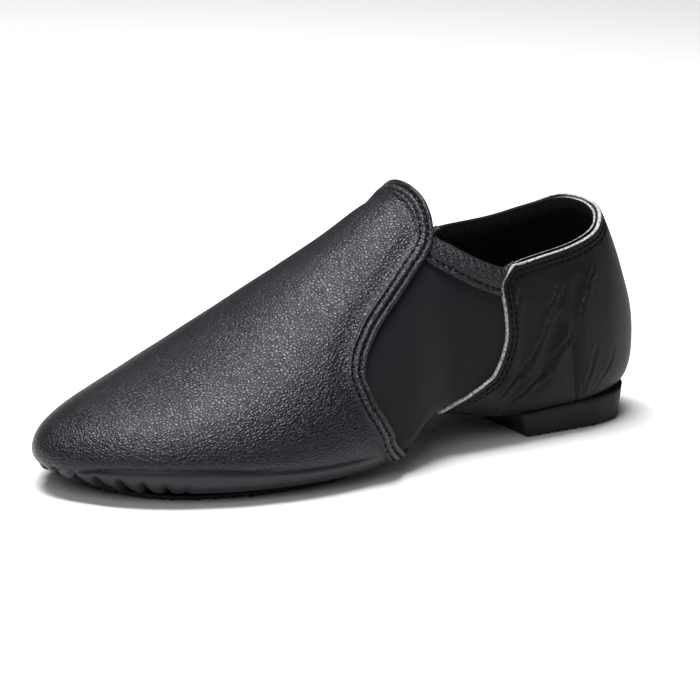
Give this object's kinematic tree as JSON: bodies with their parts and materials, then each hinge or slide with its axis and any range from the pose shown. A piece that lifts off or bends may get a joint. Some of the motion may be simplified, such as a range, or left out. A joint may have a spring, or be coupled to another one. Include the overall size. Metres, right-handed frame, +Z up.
{
  "type": "jazz shoe",
  "caption": "Slip-on split-sole jazz shoe for the left foot: soft leather vamp and heel counter over a stretch arch panel, low heel block and forefoot pad.",
  "frame": {"origin": "on the floor, under the middle of the heel block, at the heel's rest face", "axes": "+Z up, +Y along the foot towards the toe, +X towards the inner side of the left foot"},
  "size_m": [0.0927, 0.2387, 0.0936],
  "materials": {
    "arch_fabric": "matte stretch knit",
    "vamp_leather": "pebbled, soft sheen",
    "counter_leather": "pebbled, soft sheen, creased",
    "binding_leather": "grained, soft sheen",
    "sole_rubber": "matte",
    "insole_fabric": "matte"
  },
  "bodies": {
    "root": {"upper": "arch_fabric", "vamp": "vamp_leather", "heel_counter": "counter_leather", "collar_binding_lateral": "binding_leather", "collar_binding_medial": "binding_leather", "forefoot_sole": "sole_rubber", "heel": "sole_rubber", "insole": "insole_fabric"}
  },
  "joints": []
}
